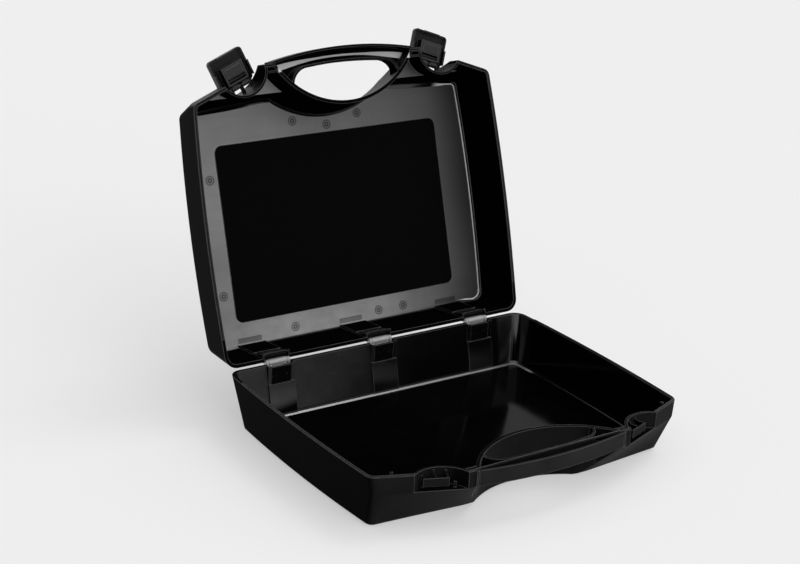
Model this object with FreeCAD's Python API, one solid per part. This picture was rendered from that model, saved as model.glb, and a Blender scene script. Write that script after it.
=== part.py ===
import FreeCAD, Part
import math
import os

# Laptop hard case in black polypropylene: two shells on three clip-in hinges, with two
# snap latches on slanted front shoulders and a bowed carrying handle moulded half in each shell.
# X runs to the right, Y to the back, Z up. The origin lies on the resting face, midway between
# the rear rim and the front corners. The lid stands open on its hinge stops.

# Overall form
base_height = 63.0              # resting face to the base rim
lid_height = 64.0               # lid rim to the top of the lid
seam_gap = 0.3                  # between the two rims when shut
lid_open_angle = 106.7          # degrees from shut to the hinge stops
latch_open_angle = 90.0         # degrees from shut

# Plan at the rim of both shells
rear_y = 146.0
rear_half = 200.0               # half width at the rear corners
side_bow = 3.0                  # bulge of the sides past the rear corners
side_bow_setback = 124.0        # rear edge to where the sides are fullest
corner_y = -147.0
corner_pull = 2.0               # the front corners stand in from the rear corners
handle_reach = 48.0             # front corners to the front of the handle
handle_radius = 456.0           # bow of the handle front
bay_x = 92.0                    # where the bay behind the handle starts
bay_depth = 62.4                # front of the handle to the bay wall, at the middle
bridge_width = 11.0             # bay to the slanted shoulder
rear_round = 15.0
front_round = 10.0
band_height = 18.0              # upright band below the rim, at the shoulders and the handle

# Plan at the resting face of the base
foot_rear_draft = 13.0          # each draft is a setback from the rim
foot_side_draft = 9.5
foot_corner_draft = 13.5
foot_bay_draft = 10.6
foot_shoulder_draft = 23.0      # of the inner ends of the shoulders, along X
foot_front_reach = 7.9          # front corners to the front edge
foot_edge_round = 3.0

# Plan at the top of the lid
crown_rear_draft = 11.0
crown_side_draft = 8.5
crown_corner_draft = 7.5
crown_bay_draft = 11.1
crown_shoulder_draft = 22.0
crown_front_reach = 2.5
crown_edge_round = 9.0

# Walls
rim_wall = 4.0                  # thickened rim
wall = 3.0
floor_wall = 3.0
inner_round = 4.0               # where the walls meet the floor inside
least_round = 3.0               # of the upright inner corners
web_depth = 26.0                # rim to the corner webs
web_wall = 2.5
web_reach = 3.5                 # front corners to the edge of the webs
cell_setback = 12.6             # front of the bridge to the wall that closes its cell
cell_wall = 2.0
tongue_inset = 1.4              # outer edge of the rim to the sealing tongue
tongue_wall = 1.1
tongue_height = 1.5
groove_clearance = 0.35
tongue_end_setback = 34.0       # the tongue stops short of the hinges

# Handle
handle_wall = 2.6
grip_depth = 18.4               # front of the handle to the hand opening, at the middle
grip_end_inset = 40.0           # the insets are counted from the start of the bay
grip_end_depth = 21.0
opening_turn_inset = 29.5
opening_turn_depth = 25.5
opening_inset = 23.0
opening_depth = 35.5
groove_offset = 0.5             # start of the bay to the upright groove beside the bridge
groove_width = 1.4
groove_depth = 1.3
grip_edge = 1.5                 # bevel of the grip's lower edges

# Latch pockets, on the shoulders
latch_offset = 26.5             # inner end of the shoulder to the middle of the latch, along X
pocket_half = 27.75
lid_pocket_depth = 21.4
base_pocket_depth = 16.0
base_pocket_drop = 18.4
pocket_wall = 2.6
catch_offset = -5.0             # middle of the pocket to the middle of the catch, to the right
catch_half = 12.5
catch_setback = 2.2             # shoulder face to the catch plate
catch_wall = 2.0
catch_top = 5.5                 # rim down to the catch plate
lip_clearance = 0.5             # lip to catch plate when shut
rib_wall = 1.7
rib_rise = 4.5
rib_clearance = 0.9
post_x = 15.5
post_width = 3.4
post_setback = 6.0
post_depth = 2.6
post_height = 6.5

# Latches
pivot_setback = 10.5            # shoulder face to the latch pin
pivot_height = 21.5             # rim to the latch pin
latch_half = 23.25
latch_proud = 1.0               # in front of the shoulder face when shut
latch_skin = 2.4
latch_drop = 17.3               # below the rim when shut
latch_root = 1.0                # above the pin
latch_side_wall = 1.8
latch_side_depth = 8.0          # behind the shoulder face
latch_low_depth = 5.0           # the same, below the rim
latch_corner_round = 4.5        # of the free end
latch_root_bevel = 2.6          # of the corners at the pin
latch_edge = 1.4                # bevel round the front plate
lip_half = 11.0
lip_depth = 7.8
lip_wall = 2.0
lip_inset = 0.2
boss_half = 14.0
boss_depth = 11.0
boss_bottom = 4.5               # below the rim when shut
boss_setdown = 4.0              # pin to the top of the boss and of the side walls
boss_wall = 2.0
field_half = 10.5               # the plain field on the boss
field_length = 9.5
field_rise = 0.8
field_start = 3.0
knuckle_radius = 3.0
knuckle_start = 3.0
knuckle_end = 10.6
lug_radius = 2.4
lug_middle_half = 1.4
lug_start = 11.8
lug_end = 14.4
latch_pin_radius = 1.1
running_clearance = 0.06
seated_clearance = 0.02         # of a pin in the piece that holds it

# Hinges
hinge_inset = 64.0              # rear corners to the outer hinges
hinge_setout = 1.5              # rear rim to the pin
hinge_radius = 3.4
hinge_pin_radius = 1.25
leaf_half = 15.0
leaf_face_half = 12.8
leaf_setback = 8.8              # rear rim to the front of the leaf
leaf_wall = 2.4
leaf_flange = 1.2
leaf_top = 1.5
leaf_bottom = 21.5
leaf_fit = 0.1
leaf_arm_top = 3.8
leaf_arm_bottom = 6.0
ear_wall = 3.0
barrel_gap = 0.3
arm_start = 8.0                 # the base leaf is open between here, for the stop
stop_half = 7.0
stop_wall = 2.4
stop_length = 10.5
stop_gap = 0.15
notch_half = 15.6
notch_depth = 6.6
pilaster_half = 17.0
pilaster_proud = 2.0
snap_half = 2.5                 # ridges that hold a leaf in its slot
snap_rise = 0.5
snap_height = 2.4
snap_x = 9.0
snap_depth = 12.0

# Lid panel and core marks
panel_side_margin = 41.5        # the margins are counted from the edges of the crown
panel_front_margin = 41.0
panel_back_margin = 29.5
panel_corner_round = 9.0
panel_step = 0.7
mark_depth = 0.3
core_mark_setback = 19.5        # rear rim to the marks of the mould cores at the hinges
core_mark_width = 5.0

# Locating pegs inside the front rim of the base
peg_place_share = 0.4879       # place between the latch pocket and the front corner
peg_width = 3.0
peg_rise = 2.5
peg_length = 8.0
peg_clearance = 0.4             # to the rim of the lid

overrun = 1.0                   # how far a cutter passes the face that it cuts
same_level = 0.0001             # edges closer than this lie in one plane
foot_round_steps = 1            # flats that make up each edge round
floor_round_steps = 1
crown_round_steps = 2
lug_flats = 6                   # flats that round the small eyes and knuckles
knuckle_flats = 8
hinge_flats = 9
bore_flats = 12

X_AXIS = FreeCAD.Vector(1, 0, 0)
Z_AXIS = FreeCAD.Vector(0, 0, 1)
ORIGIN = FreeCAD.Vector(0, 0, 0)
middle_y = rear_y - side_bow_setback
middle_half = rear_half + side_bow
corner_half = rear_half - corner_pull
handle_y = corner_y - handle_reach
bay_apex_y = handle_y + bay_depth
shoulder_x = bay_x + bridge_width
latch_x = shoulder_x + latch_offset
groove_x = bay_x + groove_offset
catch_bottom = latch_drop - lip_inset - lip_wall - lip_clearance
boss_top = pivot_height - boss_setdown
hinge_x = rear_half - hinge_inset
leaf_front_y = rear_y - leaf_setback
hinge_y = rear_y + hinge_setout
hinge_z = base_height + seam_gap / 2
hinge_point = FreeCAD.Vector(0, hinge_y, hinge_z)
RIGHT, LEFT = 1, -1


def point(x, y, z=0):
    return FreeCAD.Vector(x, y, z)


def box(x0, x1, y0, y1, z0, z1):
    return Part.makeBox(x1 - x0, y1 - y0, z1 - z0, point(x0, y0, z0))


def x_cylinder(radius, x0, x1, y, z):
    return Part.makeCylinder(radius, x1 - x0, point(x0, y, z), X_AXIS)


def flats_round(radius, start_angle, end_angle, flats):
    """Corners of the flats that round an eye, seen along X, about the origin."""
    corners = []
    for step in range(flats + 1):
        angle = math.radians(start_angle + (end_angle - start_angle) * step / flats)
        corners.append(point(0, radius * math.cos(angle), radius * math.sin(angle)))
    return corners


def pin_hole(radius, x0, x1, y, z):
    """A cutter for a moulded pin hole along X. Its flats touch a circle of the given radius."""
    corner_radius = radius / math.cos(math.pi / bore_flats)
    corners = flats_round(corner_radius, 0, 360, bore_flats)
    corners[-1] = corners[0]
    hole = Part.Face(Part.makePolygon(corners)).extrude(point(x1 - x0, 0))
    hole.translate(point(x0, y, z))
    return hole


def line(a, b):
    return Part.LineSegment(a, b).toShape()


def arc(a, b, c):
    return Part.Arc(a, b, c).toShape()


def fused(shapes):
    return shapes[0].multiFuse(shapes[1:]).removeSplitter()


def circle_through(half_chord, sagitta):
    return (half_chord ** 2 + sagitta ** 2) / (2 * sagitta)


def handle_front(x):
    """The bowed front of the handle, at the distance x from the middle."""
    centre = handle_y + handle_radius
    return centre - math.sqrt(handle_radius ** 2 - x ** 2)


def rounded_corner(before, corner, after, radius):
    """Start, middle and end of the arc that rounds a corner of the plan."""
    into = (before - corner).normalize()
    out = (after - corner).normalize()
    half_angle = into.getAngle(out) / 2
    reach = radius / math.tan(half_angle)
    centre = corner + (into + out).normalize() * (radius / math.sin(half_angle))
    middle = centre + (corner - centre).normalize() * radius
    return corner + into * reach, middle, corner + out * reach


class Plan:
    """Outline of a shell at one level, without the bay. Both sides are the same."""

    def __init__(self, rear, middle, corner, shoulder, back_round, corner_round):
        self.rear = rear
        self.middle = middle
        self.corner = corner
        self.shoulder = shoulder
        self.back_round = back_round
        self.corner_round = corner_round

    def blended(self, other, share):
        """The plan that lies the given share of the way to another plan."""
        def mix(a, b):
            return a + (b - a) * share
        return Plan(mix(self.rear, other.rear), mix(self.middle, other.middle),
                    mix(self.corner, other.corner), mix(self.shoulder, other.shoulder),
                    mix(self.back_round, other.back_round),
                    mix(self.corner_round, other.corner_round))

    def slope(self):
        """Rise of the shoulder line per length along X."""
        return (self.corner.y - self.shoulder.y) / (self.corner.x - self.shoulder.x)

    def inset(self, thickness):
        """The plan of the inner face of a wall of the given thickness."""
        slope = self.slope()
        along = thickness * math.hypot(1, slope)
        shoulder = point(self.shoulder.x + (thickness - along) / slope,
                         self.shoulder.y + thickness)
        corner_x = self.corner.x - thickness
        corner = point(corner_x, self.shoulder.y + slope * (corner_x - self.shoulder.x) + along)
        return Plan(self.rear - point(thickness, thickness), self.middle - point(thickness, 0),
                    corner, shoulder,
                    max(self.back_round - thickness, least_round),
                    max(self.corner_round - thickness, least_round))

    def side(self, hand):
        """Edges of one side, from the rear edge to the inner end of the shoulder."""
        rear, middle, corner = self.rear, self.middle, self.corner
        back = rounded_corner(point(0, rear.y), rear, point(rear.x, middle.y), self.back_round)
        front = rounded_corner(point(corner.x, middle.y), corner, self.shoulder,
                               self.corner_round)

        def at(p):
            return point(hand * p.x, p.y)
        return [
            arc(*[at(p) for p in back]),
            arc(at(back[2]), at(middle), at(front[0])),
            arc(*[at(p) for p in front]),
            line(at(front[2]), at(self.shoulder)),
        ]

    def wire(self, z):
        start = point(self.rear.x - self.back_round, self.rear.y)
        edges = self.side(RIGHT)
        edges.append(line(self.shoulder, point(-self.shoulder.x, self.shoulder.y)))
        edges.extend(reversed(self.side(LEFT)))
        edges.append(line(point(-start.x, start.y), start))
        wire = Part.Wire(Part.__sortEdges__(edges))
        wire.translate(point(0, 0, z))
        return wire


def loft(plans_and_levels):
    return Part.makeLoft([plan.wire(z) for plan, z in plans_and_levels], True, True)


def edges_at(shape, level):
    """Edges of a shape that lie in the plane at one level."""
    found = []
    for edge in shape.Edges:
        bounds = edge.BoundBox
        if abs(bounds.ZMin - level) < same_level and abs(bounds.ZMax - level) < same_level:
            found.append(edge)
    return found


def drafted_plan(rear, side, corner, shoulder, front_reach):
    """The plan at the far end of a shell, from its drafts."""
    return Plan(
        rear=point(rear_half - side, rear_y - rear),
        middle=point(middle_half - side, middle_y),
        corner=point(corner_half - side, corner_y + corner),
        shoulder=point(shoulder_x - shoulder, corner_y + corner - front_reach),
        back_round=rear_round,
        corner_round=front_round,
    )


rim_plan = Plan(
    rear=point(rear_half, rear_y),
    middle=point(middle_half, middle_y),
    corner=point(corner_half, corner_y),
    shoulder=point(shoulder_x, handle_front(shoulder_x)),
    back_round=rear_round,
    corner_round=front_round,
)
foot_plan = drafted_plan(foot_rear_draft, foot_side_draft, foot_corner_draft,
                         foot_shoulder_draft, foot_front_reach)
crown_plan = drafted_plan(crown_rear_draft, crown_side_draft, crown_corner_draft,
                          crown_shoulder_draft, crown_front_reach)
bay_radius = circle_through(bay_x, bay_apex_y - handle_front(bay_x))
shoulder_angle = math.degrees(math.atan(rim_plan.slope()))
latch_centre_y = rim_plan.shoulder.y + rim_plan.slope() * latch_offset


def band_plan(end_plan, depth):
    """The plan at the foot of the upright band: sides drafted, shoulders still below the rim."""
    plan = rim_plan.blended(end_plan, band_height / depth)
    corner_x = plan.corner.x
    rise = rim_plan.slope() * (corner_x - rim_plan.shoulder.x)
    plan.corner = point(corner_x, rim_plan.shoulder.y + rise)
    plan.shoulder = rim_plan.shoulder
    return plan


def edge_round_sections(end_level, inset, radius, steps):
    """Pairs of inset and level along an edge round, from the wall to the flat end."""
    sections = []
    for step in range(steps + 1):
        angle = math.pi / 2 * step / steps
        sections.append((inset + radius * (1 - math.cos(angle)),
                         end_level - radius * (1 - math.sin(angle))))
    return sections


def form(end_plan, bay_draft, depth, start, sections):
    """A body that follows both plans at the given insets, less the bay behind the handle."""
    band = band_plan(end_plan, depth)
    middle_inset = start[0] + (sections[0][0] - start[0]) * band_height / depth
    plans = [(rim_plan.inset(start[0]) if start[0] else rim_plan, start[1]),
             (band.inset(middle_inset) if middle_inset else band, band_height)]
    for inset, level in sections:
        plan = band.blended(end_plan, (level - band_height) / (depth - band_height))
        plans.append((plan.inset(inset) if inset else plan, level))
    profile = [(bay_radius + inset + bay_draft * level / depth, level)
               for inset, level in [start] + sections]
    return loft(plans).cut(bay_turned(profile))


def bay_turned(profile):
    """The space of the bay, turned from pairs of radius and level."""
    low, high = profile[0][1] - overrun, profile[-1][1] + overrun
    corners = [point(0, 0, low), point(profile[0][0], 0, low)]
    corners += [point(radius, 0, level) for radius, level in profile]
    corners += [point(profile[-1][0], 0, high), point(0, 0, high), point(0, 0, low)]
    turned = Part.Face(Part.makePolygon(corners)).revolve(ORIGIN, Z_AXIS)
    turned.translate(point(0, bay_apex_y - bay_radius))
    return turned


def prism(edges, z0, z1):
    face = Part.Face(Part.Wire(Part.__sortEdges__(edges)))
    face.translate(point(0, 0, z0))
    return face.extrude(point(0, 0, z1 - z0))


def on_shoulder(shape, hand):
    """Moves a shape from the shoulder's own frame, X along it and Y into it, to the case."""
    placed = shape.copy()
    placed.rotate(ORIGIN, Z_AXIS, hand * shoulder_angle)
    placed.translate(point(hand * latch_x, latch_centre_y))
    return placed


def pocket(depth, growth, z0, z1):
    """The scallop in a shoulder that takes the latch, a part of a circle."""
    radius = circle_through(pocket_half, depth)
    return Part.makeCylinder(radius + growth, z1 - z0, point(0, depth - radius, z0), Z_AXIS)


def lid_pocket(growth, z0, z1):
    return pocket(lid_pocket_depth, growth, z0, z1)


def base_pocket(growth, z0, z1):
    return pocket(base_pocket_depth, growth, z0, z1)


def hand_opening(growth, z0, z1):
    """The hole for the hand, open towards the bay wall."""
    slant = growth * math.sqrt(0.5)
    inner = point(0, handle_y + grip_depth - growth)
    end = point(bay_x - grip_end_inset, handle_y + grip_end_depth - growth)
    turn = point(bay_x - opening_turn_inset + slant, handle_y + opening_turn_depth - slant)
    side = point(bay_x - opening_inset + growth, handle_y + opening_depth)
    back = point(side.x, bay_apex_y + 2 * wall)

    def left(p):
        return point(-p.x, p.y)
    edges = [
        arc(left(end), inner, end),
        arc(end, turn, side),
        line(side, back),
        line(back, left(back)),
        line(left(back), left(side)),
        arc(left(side), left(turn), left(end)),
    ]
    return prism(edges, z0, z1)


def front_disc(inset, z0, z1):
    """Everything behind the bowed front of the handle."""
    centre = point(0, handle_y + handle_radius, z0)
    return Part.makeCylinder(handle_radius - inset, z1 - z0, centre, Z_AXIS)


def bay_disc(growth, z0, z1):
    """Everything in front of the bay wall."""
    centre = point(0, bay_apex_y - bay_radius, z0)
    return Part.makeCylinder(bay_radius + growth, z1 - z0, centre, Z_AXIS)


def handle_half():
    """The half of the handle on one shell: a bar with a bevelled grip between two bridges."""
    bar = front_disc(0, 0, band_height).common(bay_disc(wall, 0, band_height))
    bar = bar.cut(hand_opening(0, -overrun, band_height + overrun))

    def between(x0, x1):
        return bar.common(box(x0, x1, handle_y - overrun, 0, 0, band_height))
    grip = between(-groove_x, groove_x)
    long_edges = [e for e in edges_at(grip, band_height) if e.BoundBox.XLength > groove_x]
    grip = grip.makeChamfer(grip_edge, long_edges)
    return [grip, between(-shoulder_x, -groove_x), between(groove_x, shoulder_x)]


def handle_hollow():
    """The trough in the handle half."""
    top = band_height - handle_wall
    hollow = front_disc(handle_wall, -overrun, top).common(bay_disc(0, -overrun, top))
    reach = groove_x - groove_width
    hollow = hollow.common(box(-reach, reach, handle_y, 0, -overrun, top))
    return hollow.cut(hand_opening(handle_wall, -overrun, top))


def handle_grooves():
    """Upright grooves that part the grip from the bridges beside the latches."""
    grooves = []
    for hand in (RIGHT, LEFT):
        centre = hand * groove_x
        groove = box(centre - groove_width / 2, centre + groove_width / 2,
                     handle_y - overrun, handle_front(groove_x) + groove_depth,
                     -overrun, band_height + overrun)
        grooves.append(groove)
    return fused(grooves)


def pilaster(x, end_plan, depth):
    """The pad inside the rear wall that holds one hinge leaf. It runs to the floor."""
    draft = (rear_y - end_plan.rear.y) / depth
    step = leaf_bottom + leaf_fit
    upper_y = rear_y - rim_wall - pilaster_proud - draft * step
    lower_y = rear_y - rim_wall - pilaster_proud - draft * depth
    corners = [
        point(0, rear_y, -overrun), point(0, leaf_front_y, -overrun), point(0, leaf_front_y, step),
        point(0, min(upper_y, leaf_front_y), step), point(0, lower_y, depth),
        point(0, rear_y, depth),
    ]
    corners.append(corners[0])
    face = Part.Face(Part.makePolygon(corners))
    face.translate(point(x - pilaster_half, 0))
    return face.extrude(point(2 * pilaster_half, 0))


def hinge_cuts(x):
    """The slot for a hinge leaf and the notch for its knuckles."""
    back_y = leaf_front_y + leaf_wall
    flange_y = back_y - leaf_flange
    low = leaf_bottom + leaf_fit
    slot = box(x - leaf_half - leaf_fit, x + leaf_half + leaf_fit,
               flange_y - leaf_fit, back_y + leaf_fit, -overrun, low)
    window = box(x - leaf_face_half - leaf_fit, x + leaf_face_half + leaf_fit,
                 leaf_front_y - overrun, flange_y, -overrun, low)
    notch = box(x - notch_half, x + notch_half, back_y, rear_y + overrun, -overrun, notch_depth)
    return fused([slot, window, notch])


def rim_ring(outset, width, z0, z1):
    """A strip along the rim, from near one hinge round the front to the other."""
    outer = rim_plan.inset(outset)
    inner = rim_plan.inset(outset + width)
    ring = prism(outer.wire(0).Edges, z0, z1).cut(prism(inner.wire(0).Edges, z0, z1))
    reach = middle_half + overrun
    return ring.common(box(-reach, reach, handle_y, rear_y - tongue_end_setback, z0, z1))


def corner_webs():
    """The flat webs that close the front corners at half depth, and the cells at the bridges."""
    reach = middle_half + overrun
    web_edge_y = corner_y - web_reach
    cell_y = handle_front(bay_x) + cell_setback
    walls = [box(-reach, reach, handle_y, web_edge_y, web_depth, web_depth + web_wall)]
    for hand in (RIGHT, LEFT):
        ends = sorted((hand * foot_plan.shoulder.x, hand * (shoulder_x + 2 * cell_wall)))
        walls.append(box(ends[0], ends[1], cell_y - cell_wall, cell_y, -overrun, web_depth))
    return walls


def shell(end_plan, bay_draft, depth, edge_round, edge_steps):
    """Outer form and cavity of one shell, from its rim at zero to its floor at depth."""
    outer = form(end_plan, bay_draft, depth, (0, 0),
                 edge_round_sections(depth, 0, edge_round, edge_steps))
    outer = fused([outer] + handle_half())
    cavity = form(end_plan, bay_draft, depth, (rim_wall, -overrun),
                  edge_round_sections(depth - floor_wall, wall, inner_round, floor_round_steps))
    cavity = cavity.cut(corner_webs())
    for x in (-hinge_x, 0, hinge_x):
        cavity = cavity.cut(pilaster(x, end_plan, depth))
    return outer, cavity


def base_catch():
    """Catch plate, its ribs and the nub beside it, in the frame of the shoulder, rim at zero."""
    left = catch_offset - catch_half
    right = catch_offset + catch_half
    plate = box(left - rib_wall / 2, right + rib_wall / 2,
                catch_setback, catch_setback + catch_wall, catch_top, catch_bottom)
    back = base_pocket_depth + pocket_wall / 2
    entry = lip_depth + pocket_wall / 2
    profile = [
        (catch_setback, catch_top), (catch_setback, catch_bottom), (entry, catch_bottom),
        (entry, base_pocket_drop), (back, base_pocket_drop), (back, catch_top - rib_rise),
        (boss_depth + rib_clearance, catch_top),
    ]
    corners = [point(0, y, z) for y, z in profile]
    corners.append(corners[0])
    rib = Part.Face(Part.makePolygon(corners)).extrude(point(rib_wall, 0))
    parts = [plate]
    for x in (left, catch_offset, right):
        part = rib.copy()
        part.translate(point(x - rib_wall / 2, 0))
        parts.append(part)
    parts.append(box(post_x - post_width / 2, post_x + post_width / 2, post_setback,
                     post_setback + post_depth, base_pocket_drop - post_height,
                     base_pocket_drop + pocket_wall / 2))
    inside = base_pocket(pocket_wall / 2, 0, base_pocket_drop + pocket_wall)
    return fused(parts).common(inside)


def locating_peg(hand):
    """A peg that guides the lid, with the web that joins it to the rim wall."""
    corner_along = (corner_half - latch_x) / math.cos(math.radians(shoulder_angle))
    along = pocket_half + (corner_along - pocket_half) * peg_place_share
    left = hand * along - peg_width / 2
    right = hand * along + peg_width / 2
    front = rim_wall + peg_clearance
    peg = box(left, right, front, front + peg_width, -peg_rise, peg_length)
    return peg.fuse(box(left, right, rim_wall - peg_clearance, front, peg_clearance, peg_length))


def build_base_shell():
    outer, cavity = shell(foot_plan, foot_bay_draft, base_height, foot_edge_round,
                          foot_round_steps)
    pocket_floor = base_pocket_drop + pocket_wall
    for hand in (RIGHT, LEFT):
        cavity = cavity.cut(on_shoulder(base_pocket(pocket_wall, -overrun, pocket_floor), hand))
    solid = outer.cut(cavity)
    solid = solid.cut(handle_hollow())
    solid = solid.cut(handle_grooves())
    solid = solid.fuse(rim_ring(tongue_inset, tongue_wall, -tongue_height, overrun))
    for hand in (RIGHT, LEFT):
        solid = solid.cut(on_shoulder(base_pocket(0, -tongue_height - overrun,
                                                  base_pocket_drop), hand))
        solid = solid.fuse(on_shoulder(base_catch(), hand))
        solid = solid.fuse(on_shoulder(locating_peg(hand), hand))
    for x in (-hinge_x, 0, hinge_x):
        solid = solid.cut(hinge_cuts(x))
    solid = solid.removeSplitter()
    solid = solid.mirror(ORIGIN, Z_AXIS)
    solid.translate(point(0, 0, base_height))
    return solid


def eye_plate(x0, x1, radius, rise, end_y, flats):
    """A plate across X from end_y to the latch pin, which it rounds. Its edge may stand lower."""
    end_angle = 180 - math.degrees(math.asin(rise / radius))
    past = math.copysign(1, pivot_setback - end_y)
    corners = [point(0, past * p.y, p.z) for p in flats_round(radius, -90, end_angle, flats)]
    corners += [point(0, end_y - pivot_setback, rise), point(0, end_y - pivot_setback, -radius)]
    corners.append(corners[0])
    plate = Part.Face(Part.makePolygon(corners)).extrude(point(x1 - x0, 0))
    plate.translate(point(x0, pivot_setback, pivot_height))
    return plate


def latch_lugs():
    """The three lugs on the lid that hold a latch pin, in the frame of the shoulder."""
    spans = [(-lug_end, -lug_start), (-lug_middle_half, lug_middle_half), (lug_start, lug_end)]
    end_y = lid_pocket_depth + pocket_wall
    lugs = [eye_plate(x0, x1, lug_radius, lug_radius, end_y, lug_flats) for x0, x1 in spans]
    hole = pin_hole(latch_pin_radius + seated_clearance, -lug_end - overrun,
                    lug_end + overrun, pivot_setback, pivot_height)
    inside = lid_pocket(pocket_wall / 2, 0, lid_height)
    return Part.makeCompound(lugs).cut(hole).common(inside)


def panel_prism(z0, z1):
    """The rounded rectangle of the lid's label field."""
    reach = crown_plan.rear.x - panel_side_margin
    block = box(-reach, reach, crown_plan.corner.y + panel_front_margin,
                crown_plan.rear.y - panel_back_margin, z0, z1)
    upright = [e for e in block.Edges if abs(e.BoundBox.ZLength - abs(z1 - z0)) < panel_step / 2]
    return block.makeFillet(panel_corner_round, upright)


def core_mark(x):
    """The shallow mark that a mould core leaves in the lid's floor, below a hinge."""
    middle = rear_y - core_mark_setback
    floor_level = lid_height - floor_wall
    return box(x - leaf_half, x + leaf_half, middle - core_mark_width / 2,
               middle + core_mark_width / 2, floor_level - overrun, floor_level + mark_depth)


def build_lid_shell():
    outer, cavity = shell(crown_plan, crown_bay_draft, lid_height, crown_edge_round,
                          crown_round_steps)
    for hand in (RIGHT, LEFT):
        cavity = cavity.cut(on_shoulder(lid_pocket(pocket_wall, -overrun, lid_height), hand))
    cavity = cavity.cut(panel_prism(lid_height - floor_wall - panel_step, lid_height))
    solid = outer.cut(cavity)
    solid = solid.cut([core_mark(x) for x in (-hinge_x, 0, hinge_x)])
    solid = solid.cut(panel_prism(lid_height - panel_step, lid_height + overrun))
    solid = solid.cut(handle_hollow())
    solid = solid.cut(handle_grooves())
    solid = solid.cut(rim_ring(tongue_inset - groove_clearance,
                               tongue_wall + 2 * groove_clearance,
                               -overrun, tongue_height + groove_clearance))
    for hand in (RIGHT, LEFT):
        solid = solid.cut(on_shoulder(lid_pocket(0, -overrun, lid_height), hand))
        solid = solid.fuse(on_shoulder(latch_lugs(), hand))
    for x in (-hinge_x, 0, hinge_x):
        solid = solid.cut(hinge_cuts(x))
    solid = solid.removeSplitter()
    solid.translate(point(0, 0, base_height + seam_gap))
    return solid


def leaf_plate(x):
    """The part of a hinge leaf that slides into its slot, with level counted from the rim."""
    back_y = leaf_front_y + leaf_wall
    flange = box(x - leaf_half, x + leaf_half, back_y - leaf_flange, back_y,
                 leaf_top, leaf_bottom)
    face = box(x - leaf_face_half, x + leaf_face_half, leaf_front_y, back_y,
               leaf_top, leaf_bottom)
    corners = [
        point(0, leaf_front_y, snap_depth - snap_height / 2),
        point(0, leaf_front_y - snap_rise, snap_depth),
        point(0, leaf_front_y, snap_depth + snap_height / 2),
    ]
    corners.append(corners[0])
    ridge = Part.Face(Part.makePolygon(corners)).extrude(point(2 * snap_half, 0))
    parts = [flange, face]
    for hand in (RIGHT, LEFT):
        snap = ridge.copy()
        snap.translate(point(x + hand * snap_x - snap_half, 0))
        parts.append(snap)
    return fused(parts)


def neck(x0, x1, axis_level):
    """A knuckle on the stem that joins it to its arm."""
    foot = leaf_arm_bottom - axis_level
    corners = flats_round(hinge_radius, -180, 90, hinge_flats)
    corners += [point(0, 0, foot), point(0, -hinge_radius, foot)]
    corners.append(corners[0])
    knuckle = Part.Face(Part.makePolygon(corners)).extrude(point(x1 - x0, 0))
    knuckle.translate(point(x0, hinge_y, axis_level))
    return knuckle


def build_base_leaf(x):
    axis_level = -seam_gap / 2
    parts = [leaf_plate(x)]
    for hand in (RIGHT, LEFT):
        ends = sorted((x + hand * arm_start, x + hand * leaf_half))
        parts.append(box(ends[0], ends[1], leaf_front_y + leaf_wall / 2, hinge_y,
                         leaf_arm_top, leaf_arm_bottom))
        ear = sorted((x + hand * (leaf_half - ear_wall), x + hand * leaf_half))
        parts.append(neck(ear[0], ear[1], axis_level))
    hole = pin_hole(hinge_pin_radius + seated_clearance, x - leaf_half - overrun,
                    x + leaf_half + overrun, hinge_y, axis_level)
    leaf = fused(parts).cut(hole)
    leaf = leaf.mirror(ORIGIN, Z_AXIS)
    leaf.translate(point(0, 0, base_height))
    return leaf


def stop_fin(x):
    """The fin that rests on the base's rear wall when the lid is open, in that position."""
    draft = math.degrees(math.atan(foot_rear_draft / base_height))
    fin = box(x - stop_half, x + stop_half, stop_gap, stop_gap + stop_wall, -stop_length, 0)
    fin.rotate(ORIGIN, X_AXIS, -draft)
    fin.translate(point(0, rear_y, base_height))
    return fin


def build_lid_leaf(x):
    axis_level = -seam_gap / 2
    barrel_half = leaf_half - ear_wall - barrel_gap
    arm = box(x - leaf_half, x + leaf_half, leaf_front_y + leaf_wall / 2, hinge_y,
              leaf_arm_top, leaf_arm_bottom)
    leaf = fused([leaf_plate(x), arm, neck(x - barrel_half, x + barrel_half, axis_level)])
    leaf.translate(point(0, 0, base_height + seam_gap))
    fin = stop_fin(x)
    fin.rotate(hinge_point, X_AXIS, lid_open_angle)
    hole = pin_hole(hinge_pin_radius + running_clearance, x - leaf_half - overrun,
                    x + leaf_half + overrun, hinge_y, hinge_z)
    return fused([leaf, fin]).cut(hole)


def build_hinge_pin(x):
    return x_cylinder(hinge_pin_radius, x - leaf_half, x + leaf_half, hinge_y, hinge_z)


def latch_cover():
    """Front plate of a latch with its side and end walls, shut, in the frame of the shoulder."""
    front = -latch_proud
    inner = front + latch_skin
    top = pivot_height + latch_root
    wide = latch_half + overrun
    deep = latch_side_depth + overrun
    block = box(-latch_half, latch_half, front, latch_side_depth, -latch_drop, top)
    free_corners = [edge for edge in block.Edges
                    if edge.BoundBox.YLength > latch_side_depth and edge.BoundBox.ZMax < 0]
    block = block.makeFillet(latch_corner_round, free_corners)
    root_corners = [edge for edge in block.Edges
                    if edge.BoundBox.YLength > latch_side_depth and edge.BoundBox.ZMin > 0]
    block = block.makeChamfer(latch_root_bevel, root_corners)
    block = block.makeChamfer(latch_edge, [edge for edge in block.Edges
                                           if edge.BoundBox.YMax < inner])
    side = latch_half - latch_side_wall
    hollow = box(-side, side, inner, deep, -latch_drop + latch_side_wall, top + overrun)
    low = box(-wide, wide, latch_low_depth, deep, -latch_drop - overrun, 0)
    high = box(-wide, wide, inner, deep, boss_top, top + overrun)
    return block.cut([hollow, low, high])


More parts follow.
